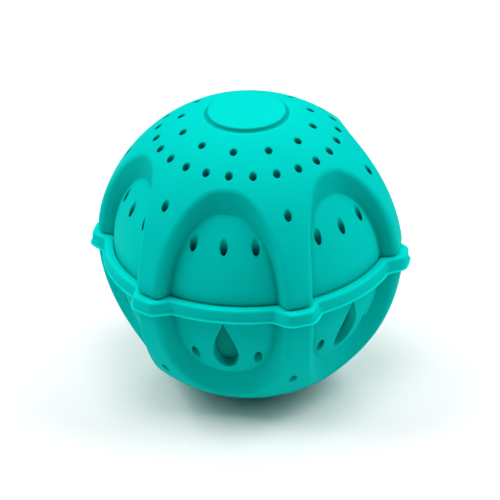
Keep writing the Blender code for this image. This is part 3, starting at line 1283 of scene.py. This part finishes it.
@dataclass
class CapsuleHalf:
    """One slotted half of the hard capsule."""

    half: Half
    name: str
    rim: list[Spot]
    short_slots: bool = False
    slot_width: float = 0.003
    slot_start: float = 0.014
    slot_end: float = 0.036
    short_end: float = 0.024
    outer_spacing: float = 1.4
    bore_spacing: float = 1.6
    rim_points: int = 144

    def slots(self) -> list[Cut]:
        """The upright slots, two to each of the shells' sectors.

        Returns:
            The slots.
        """
        cuts = []
        for index in range(2 * SECTORS):
            azimuth = FIRST_WINDOW + index * SECTOR_ANGLE / 2.0
            end = self.short_end if self.short_slots and index % 2 == 0 else self.slot_end
            outline = slot_outline(azimuth, self.slot_start, end, self.slot_width)
            cuts.append(upright_cut(outline, CAPSULE_RADIUS, CAPSULE_BORE))
        return cuts

    def build(self, finish: "Teal") -> None:
        """Make the half, with its slots and its lapped rim.

        Args:
            finish: Its finish.
        """
        skin = Skin()
        outer = Dome(CAPSULE_RADIUS)
        inner = Dome(CAPSULE_BORE, facing=-1)
        mouths, backs = skin.lay(self.slots(), outer, inner)
        rings = [circle(full_turn(self.rim_points), reach, height) for reach, height in self.rim]
        loops = skin.add_rings(rings, True, direction(90.0, 0.0))
        skin.fill(outer, [loops[0], *mouths], self.outer_spacing)
        skin.fill(inner, [loops[-1], *backs], self.bore_spacing)
        stand_for(skin.piece(f"{self.name}_skin", self.half), self.name, self.name, finish)


def rounded_foot(start: float, foot: float) -> list[Spot]:
    """The capsule's profile from its sphere, left at height start, round onto a level foot."""
    edge = [(CAPSULE_RADIUS - back, foot + up) for back, up in FOOT_ROUND]
    return [(other_leg(CAPSULE_RADIUS, start), start), *edge]


def cap_rim(foot: float = 0.0003, skirt: float = 0.03865, step: float = 0.0033) -> list[Spot]:
    """The cap's rim, laid out from the dome round its foot and up to the step inside.

    Args:
        foot: The height where its skirt ends.
        skirt: The skirt's inner radius.
        step: The height of the step over the skirt.

    Returns:
        The rim's reaches and heights.
    """
    profile = [*rounded_foot(0.0009, foot), *softened((skirt, foot), OUT, UP), (skirt, CAP_MIDDLE)]
    return [*profile, *softened((skirt, step), DOWN, IN), *onto_sphere(CAPSULE_BORE, step, 0.0001, -ROUND_IN)]


def base_rim(collar: float = 0.03835, end: float = -0.003) -> list[Spot]:
    """The base's rim, laid out upside down from the bowl round the ledge and over the collar.

    Args:
        collar: The collar's outer radius.
        end: The height where it ends.

    Returns:
        The rim's reaches and heights.
    """
    profile = [*rounded_foot(0.0006, 0.0), *softened((collar, 0.0), OUT, DOWN), (collar, BASE_MIDDLE)]
    profile += [*softened((collar, end), UP, IN), *softened((CAPSULE_BORE, end), OUT, UP)]
    return [*profile, (CAPSULE_BORE, BASE_MIDDLE), (CAPSULE_BORE, 0.0)]


@dataclass
class BeadHeap:
    """The settled heap of ceramic beads, each a slightly uneven ball where its node is."""

    unevenness: float = 0.012
    detail: int = 4
    lumps: float = 1.7
    variety: float = 900.0

    def build(self, finish: "Ceramic") -> None:
        """Make every bead of one kind.

        Args:
            finish: The kind's finish.
        """
        names = sorted(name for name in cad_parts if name.startswith(finish.kind.value))
        for name in names:
            self.bead(name, finish)
        LOG.info("%s: %d beads", finish.kind.value, len(names))

    def bead(self, name: str, finish: "Ceramic") -> None:
        """Make one bead, in the place of the node of this name.

        Args:
            name: The node.
            finish: The bead's finish.
        """
        low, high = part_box(name)
        centre = (low + high) / 2.0
        mesh = bpy.data.meshes.new(f"{name}_ball")
        ball = bmesh.new()
        bmesh.ops.create_icosphere(ball, subdivisions=self.detail, radius=(high.z - low.z) / 2.0)
        for vert in ball.verts:
            swell = noise.noise(self.lumps * vert.co.normalized() + self.variety * centre)
            vert.co = vert.co * (1.0 - self.unevenness * (0.5 + 0.5 * swell))
        ball.to_mesh(mesh)
        ball.free()
        mesh.shade_smooth()
        stand_for(placed(f"{name}_ball", mesh, centre), name, "capsule_base", finish)


def node(tree: Tree, kind: str, values: Values | None = None, **settings: object) -> bpy.types.Node:
    """Add a node, and set its own properties and the values of its inputs.

    Args:
        tree: The node tree.
        kind: The node's type.
        values: A value for each of its inputs that isn't left as it is.
        settings: A value for each of its own properties that isn't left as it is.

    Returns:
        The node.
    """
    made = tree.nodes.new(kind)
    for label, value in settings.items():
        setattr(made, label, value)
    for label, value in (values or {}).items():
        made.inputs[label].default_value = value
    return made


def join(tree: Tree, *pairs: tuple[Socket, Socket]) -> None:
    """Link each first socket to its second."""
    for pair in pairs:
        tree.links.new(*pair)


def shared_group(
    name: str, values: Values, results: Sequence[str], parts: dict[str, Part], links: Sequence[Link]
) -> Tree:
    """A shader node group, built the first time that it is asked for.

    Args:
        name: The group's name.
        values: Its inputs and their starting values.
        results: Its outputs.
        parts: Its nodes by name, each with its type, its input values and its own properties.
        links: The node and output that each link comes from and the node and input that it goes
            to, where the group's own inputs and outputs belong to the nodes "given" and "result".

    Returns:
        The group.
    """
    group = bpy.data.node_groups.get(name)
    if group:
        return group
    group = bpy.data.node_groups.new(name, "ShaderNodeTree")
    for label, value in values.items():
        socket = group.interface.new_socket(name=label, in_out="INPUT", socket_type="NodeSocketFloat")
        socket.default_value = value
    for label in results:
        group.interface.new_socket(name=label, in_out="OUTPUT", socket_type="NodeSocketFloat")
    nodes = {"given": node(group, "NodeGroupInput"), "result": node(group, "NodeGroupOutput")}
    for label, (kind, starts, settings) in parts.items():
        nodes[label] = node(group, kind, starts, **settings)
    join(group, *((nodes[a].outputs[out], nodes[b].inputs[into]) for a, out, b, into in links))
    return group


def moulded_grain() -> Tree:
    """The fine grain and slow waviness that a moulding takes from its steel, as a height and a drift.

    Returns:
        The group.
    """
    return shared_group(
        "moulded_grain",
        {"Grain Scale": 2600.0, "Wave Scale": 90.0, "Wave Share": 0.35},
        ("Height", "Drift"),
        {
            "place": ("ShaderNodeTexCoord", {}, {}),
            "grain": ("ShaderNodeTexNoise", {"Detail": 3.0, "Roughness": 0.6}, {"noise_dimensions": "3D"}),
            "wave": ("ShaderNodeTexNoise", {"Detail": 2.0}, {"noise_dimensions": "3D"}),
            "mix": ("ShaderNodeMix", {}, {"data_type": "FLOAT"}),
        },
        (
            ("place", "Object", "grain", "Vector"),
            ("place", "Object", "wave", "Vector"),
            ("given", "Grain Scale", "grain", "Scale"),
            ("given", "Wave Scale", "wave", "Scale"),
            ("given", "Wave Share", "mix", "Factor"),
            ("grain", "Fac", "mix", "A"),
            ("wave", "Fac", "mix", "B"),
            ("mix", "Result", "result", "Height"),
            ("wave", "Fac", "result", "Drift"),
        ),
    )


def speckle() -> Tree:
    """A mask of small flecks, such as a fired clay body shows.

    Returns:
        The group.
    """
    return shared_group(
        "speckle",
        {"Fleck Scale": 2400.0, "Coverage": 0.3},
        ("Flecks",),
        {
            "place": ("ShaderNodeTexCoord", {}, {}),
            "cells": ("ShaderNodeTexVoronoi", {}, {"feature": "F1"}),
            "shade": ("ShaderNodeMapRange", {"From Min": 0.0, "To Min": 1.0, "To Max": 0.0}, {}),
        },
        (
            ("place", "Object", "cells", "Vector"),
            ("given", "Fleck Scale", "cells", "Scale"),
            ("cells", "Distance", "shade", "Value"),
            ("given", "Coverage", "shade", "From Max"),
            ("shade", "Result", "result", "Flecks"),
        ),
    )


def hollow_shade() -> Tree:
    """A mask of how closed in a spot is by its own piece, from 0 in the open to 1 deep in a hole, used to
    paint shade into the colour.

    Returns:
        The group.
    """
    return shared_group(
        "hollow_shade",
        {"Reach": 0.0045, "Open": 0.88, "Closed": 0.35},
        ("Hollow",),
        {
            "around": ("ShaderNodeAmbientOcclusion", {}, {"samples": 8, "only_local": True}),
            "shade": ("ShaderNodeMapRange", {}, {}),
        },
        (
            ("given", "Reach", "around", "Distance"),
            ("around", "AO", "shade", "Value"),
            ("given", "Open", "shade", "From Min"),
            ("given", "Closed", "shade", "From Max"),
            ("shade", "Result", "result", "Hollow"),
        ),
    )


def principled(name: str) -> tuple[bpy.types.Material, Tree, bpy.types.Node]:
    """A new material with its node tree and its Principled BSDF.

    Args:
        name: Its name.

    Returns:
        The material, its tree and its Principled BSDF.
    """
    material = bpy.data.materials.new(name)
    material.use_nodes = True
    return material, material.node_tree, material.node_tree.nodes["Principled BSDF"]


def mixed_colour(tree: Tree, factor: Socket, first: Socket | Colour, second: Colour) -> Socket:
    """Mix two colours, the first of which may itself vary, by a factor that varies over the surface.

    Args:
        tree: The material's tree.
        factor: 0 for the first colour and 1 for the second.
        first: The first colour, or what gives it.
        second: The second colour.

    Returns:
        The mixed colour.
    """
    mix = node(tree, "ShaderNodeMix", {"B": (*second, 1.0)}, data_type="RGBA")
    if isinstance(first, tuple):
        mix.inputs["A"].default_value = (*first, 1.0)
    else:
        tree.links.new(first, mix.inputs["A"])
    tree.links.new(factor, mix.inputs["Factor"])
    return mix.outputs["Result"]


def scaled(tree: Tree, source: Socket, low: float, high: float) -> Socket:
    """Stretch the middle of a noise to run from low to high.

    Args:
        tree: The material's tree.
        source: The noise.
        low: What it gives at the low end.
        high: What it gives at the high end.

    Returns:
        The stretched value.
    """
    ends = {"From Min": 0.3, "From Max": 0.7, "To Min": low, "To Max": high}
    spread = node(tree, "ShaderNodeMapRange", ends)
    tree.links.new(source, spread.inputs["Value"])
    return spread.outputs["Result"]


@dataclass(frozen=True)
class Finish:
    """What every finish has: a colour that varies, a varying roughness, and a moulded grain."""

    name: str
    roughness: tuple[float, float]
    specular: float
    grain: tuple[float, float, float]
    bump: tuple[float, float]

    def colour(self, tree: Tree, drift: Socket) -> Socket:
        """The finish's colour, which may follow the grain's drift."""
        raise NotImplementedError

    def material(self) -> bpy.types.Material:
        """Build the material once and hand it out again after that.

        Returns:
            The material.
        """
        found = bpy.data.materials.get(self.name)
        if found:
            return found
        material, tree, shader = principled(self.name)
        values = dict(zip(("Grain Scale", "Wave Scale", "Wave Share"), self.grain))
        grain = node(tree, "ShaderNodeGroup", values, node_tree=moulded_grain())
        bump = node(tree, "ShaderNodeBump", dict(zip(("Distance", "Strength"), self.bump)))
        drift = grain.outputs["Drift"]
        join(
            tree,
            (grain.outputs["Height"], bump.inputs["Height"]),
            (bump.outputs["Normal"], shader.inputs["Normal"]),
            (self.colour(tree, drift), shader.inputs["Base Color"]),
            (scaled(tree, drift, *self.roughness), shader.inputs["Roughness"]),
        )
        shader.inputs["Specular IOR Level"].default_value = self.specular
        return material


@dataclass(frozen=True)
class Teal(Finish):
    """A teal plastic with painted shade on window walls, pillar feet and in hollows, and painted light on
    lips, band tops and opening walls.
    """

    light: Colour
    deep: Colour
    # The colour of painted shade in creases, holes and seams.
    hollow: Colour
    # The colour of painted shade on window walls and pillar feet.
    wall: Colour | None = None
    # The colour of painted light on lips, band tops and opening walls.
    edge: Colour | None = None

    def colour(self, tree: Tree, drift: Socket) -> Socket:
        """The teal, which drifts a little, with painted shade on walls, feet and hollows and painted light on
        thin edges.

        Args:
            tree: The material's tree.
            drift: The grain's drift.

        Returns:
            The colour.
        """
        colour = mixed_colour(tree, scaled(tree, drift, 0.0, 1.0), self.light, self.deep)
        # Painted shade on window walls and pillar feet.
        if self.wall:
            mask = node(tree, "ShaderNodeAttribute", attribute_name=PAINTED_SHADE_MASK)
            colour = mixed_colour(tree, mask.outputs["Fac"], colour, self.wall)
        # Painted shade in creases, holes and seams, from ambient occlusion.
        hollows = node(tree, "ShaderNodeGroup", node_tree=hollow_shade())
        colour = mixed_colour(tree, hollows.outputs["Hollow"], colour, self.hollow)
        # Painted light on lips, band tops and opening walls.
        if self.edge:
            mask = node(tree, "ShaderNodeAttribute", attribute_name=PAINTED_LIGHT_MASK)
            colour = mixed_colour(tree, mask.outputs["Fac"], colour, self.edge)
        return colour


@dataclass(frozen=True)
class Ceramic(Finish):
    """Unglazed fired ceramic with fine flecks."""

    kind: BeadKind
    body: Colour
    fleck: Colour
    fleck_scale: float = 2200.0
    coverage: float = 0.28

    def colour(self, tree: Tree, drift: Socket) -> Socket:
        """The clay's colour and its flecks'.

        Args:
            tree: The material's tree.
            drift: The grain's drift, which the clay doesn't follow.

        Returns:
            The colour.
        """
        values = {"Fleck Scale": self.fleck_scale, "Coverage": self.coverage}
        flecks = node(tree, "ShaderNodeGroup", values, node_tree=speckle())
        return mixed_colour(tree, flecks.outputs["Flecks"], self.body, self.fleck)


SOFT_TEAL = Teal(
    name="soft_teal_elastomer",
    roughness=(0.50, 0.58),
    specular=0.004,
    grain=(2600.0, 70.0, 0.15),
    bump=(0.00002, 0.35),
    light=(0.0, 0.50, 0.445),
    deep=(0.0, 0.482, 0.429),
    # Painted shade in hollows, painted shade on walls and feet, and painted light on thin edges.
    hollow=(0.0, 0.18, 0.16),
    wall=(0.0, 0.39, 0.347),
    edge=(0.0, 0.64, 0.575),
)
HARD_TEAL = Teal(
    name="hard_teal_plastic",
    roughness=(0.34, 0.42),
    specular=0.006,
    grain=(1500.0, 60.0, 0.6),
    bump=(0.00001, 0.25),
    # Kept darker than the shell's teal as painted shade for the ball's closed inside; hollow paints shade in
    # the slots.
    light=(0.0, 0.25, 0.208),
    deep=(0.0, 0.235, 0.195),
    hollow=(0.0, 0.15, 0.125),
)
CLAYS: dict[BeadKind, tuple[Colour, Colour]] = {
    BeadKind.WHITE: ((0.84, 0.83, 0.79), (0.62, 0.60, 0.55)),
    BeadKind.GREY: ((0.27, 0.28, 0.29), (0.12, 0.12, 0.13)),
    BeadKind.SAND: ((0.60, 0.45, 0.28), (0.38, 0.26, 0.15)),
    BeadKind.TERRACOTTA: ((0.44, 0.15, 0.075), (0.28, 0.08, 0.04)),
}


def ceramic(kind: BeadKind) -> Ceramic:
    """The finish of one kind of bead.

    Args:
        kind: The kind.

    Returns:
        Its finish.
    """
    body, fleck = CLAYS[kind]
    name = f"{kind.value}_ceramic"
    return Ceramic(name, (0.55, 0.75), 0.35, (3500.0, 700.0, 0.4), (0.00004, 0.5), kind, body, fleck)


@dataclass(frozen=True)
class Softbox:
    """A round soft lamp that faces the ball from a little over a metre away."""

    name: str
    azimuth: float
    power: float
    elevation: float = 48.0
    size: float = 0.7
    distance: float = 1.3

    def hang(self) -> None:
        """Put the lamp in the scene, out of the camera's sight."""
        data = bpy.data.lights.new(self.name, "AREA")
        data.shape = "DISK"
        data.size = self.size
        data.energy = self.power
        way = direction(90.0 - self.elevation, self.azimuth)
        lamp = placed(self.name, data, BALL_CENTRE + self.distance * way)
        lamp.rotation_euler = (-way).to_track_quat("-Z", "Y").to_euler()
        lamp.visible_camera = False


SOFTBOXES = (
    Softbox("front_high", 0.0, 6.3, elevation=70.0),
    Softbox("front_right", 60.0, 1.5),
    Softbox("right", 90.0, 6.8),
    Softbox("right_low", 90.0, 3.5, elevation=20.0, size=0.6),
    Softbox("back_right", 135.0, 4.3),
    Softbox("back", 180.0, 3.2),
    Softbox("back_left", 225.0, 4.2),
    Softbox("left", 270.0, 7.3),
    Softbox("left_low", 270.0, 3.0, elevation=20.0, size=0.6),
    Softbox("front_left", 300.0, 1.2),
)


@dataclass(frozen=True)
class Studio:
    """The plain pale floor, the soft light and the camera of the photograph."""

    elevation: float = 29.27
    distance: float = 1.298
    lens: float = 299.8
    sensor: float = 36.0
    roll: float = -1.31
    centre_pixel: tuple[float, float] = (249.7, 244.0)
    frame_pixels: float = 500.0
    floor_radius: float = 0.45
    floor_gap: float = 0.0002
    paleness: float = 0.85
    roughness: float = 0.6
    specular: float = 0.2
    far: float = 20.0

    def camera(self) -> None:
        """Stand the camera where the photograph was taken from."""
        data = bpy.data.cameras.new("camera")
        data.lens = self.lens
        data.sensor_width = self.sensor
        data.clip_end = self.far
        back = direction(90.0 - self.elevation, 0.0)
        made = placed("camera", data, BALL_CENTRE)
        turned = (-back).to_track_quat("-Z", "Y").to_matrix().to_4x4()
        focal = self.lens / self.sensor * self.frame_pixels
        across, down = ((pixel - self.frame_pixels / 2.0) / focal for pixel in self.centre_pixel)
        tilt = Matrix.Rotation(down, 4, "X") @ Matrix.Rotation(across, 4, "Y")
        roll = Matrix.Rotation(math.radians(self.roll), 4, "Z")
        made.matrix_world = Matrix.Translation(BALL_CENTRE + self.distance * back) @ turned @ roll @ tilt
        bpy.context.scene.camera = made

    def floor(self) -> None:
        """Lay the floor."""
        mesh = bpy.data.meshes.new("floor")
        sheet = bmesh.new()
        bmesh.ops.create_circle(sheet, cap_ends=True, segments=96, radius=self.floor_radius)
        sheet.to_mesh(mesh)
        sheet.free()
        material, tree, shader = principled("studio_floor")
        shader.inputs["Base Color"].default_value = (self.paleness, self.paleness, self.paleness, 1.0)
        shader.inputs["Roughness"].default_value = self.roughness
        shader.inputs["Specular IOR Level"].default_value = self.specular
        mesh.materials.append(material)
        placed("studio_floor", mesh, -self.floor_gap * UP_AXIS)

    def light(self) -> None:
        """Light the ball from all round, most from the sides, before a backdrop that adds no light."""
        world = bpy.data.worlds.new("surround")
        bpy.context.scene.world = world
        world.use_nodes = True
        tree = world.node_tree
        backdrop = tree.nodes["Background"]
        backdrop.inputs["Color"].default_value = (1.0, 1.0, 1.0, 1.0)
        seen = node(tree, "ShaderNodeLightPath")
        tree.links.new(seen.outputs["Is Camera Ray"], backdrop.inputs["Strength"])
        for softbox in SOFTBOXES:
            softbox.hang()

    def build(self) -> None:
        """Set up the floor, light and camera."""
        self.floor()
        self.light()
        self.camera()
        bpy.context.scene.view_settings.view_transform = "Standard"


def main() -> None:
    """Build the ball's pieces in order, then the studio, and report each."""
    logging.basicConfig(level=logging.INFO, format="%(name)s: %(message)s")
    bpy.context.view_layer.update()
    UpperShell().build(SOFT_TEAL)
    LowerShell().build(SOFT_TEAL)
    CapsuleHalf(Half.UPPER, "capsule_cap", cap_rim()).build(HARD_TEAL)
    CapsuleHalf(Half.LOWER, "capsule_base", base_rim(), short_slots=True).build(HARD_TEAL)
    for kind in BeadKind:
        BeadHeap().build(ceramic(kind))
    Studio().build()


if __name__ == "__main__":
    main()
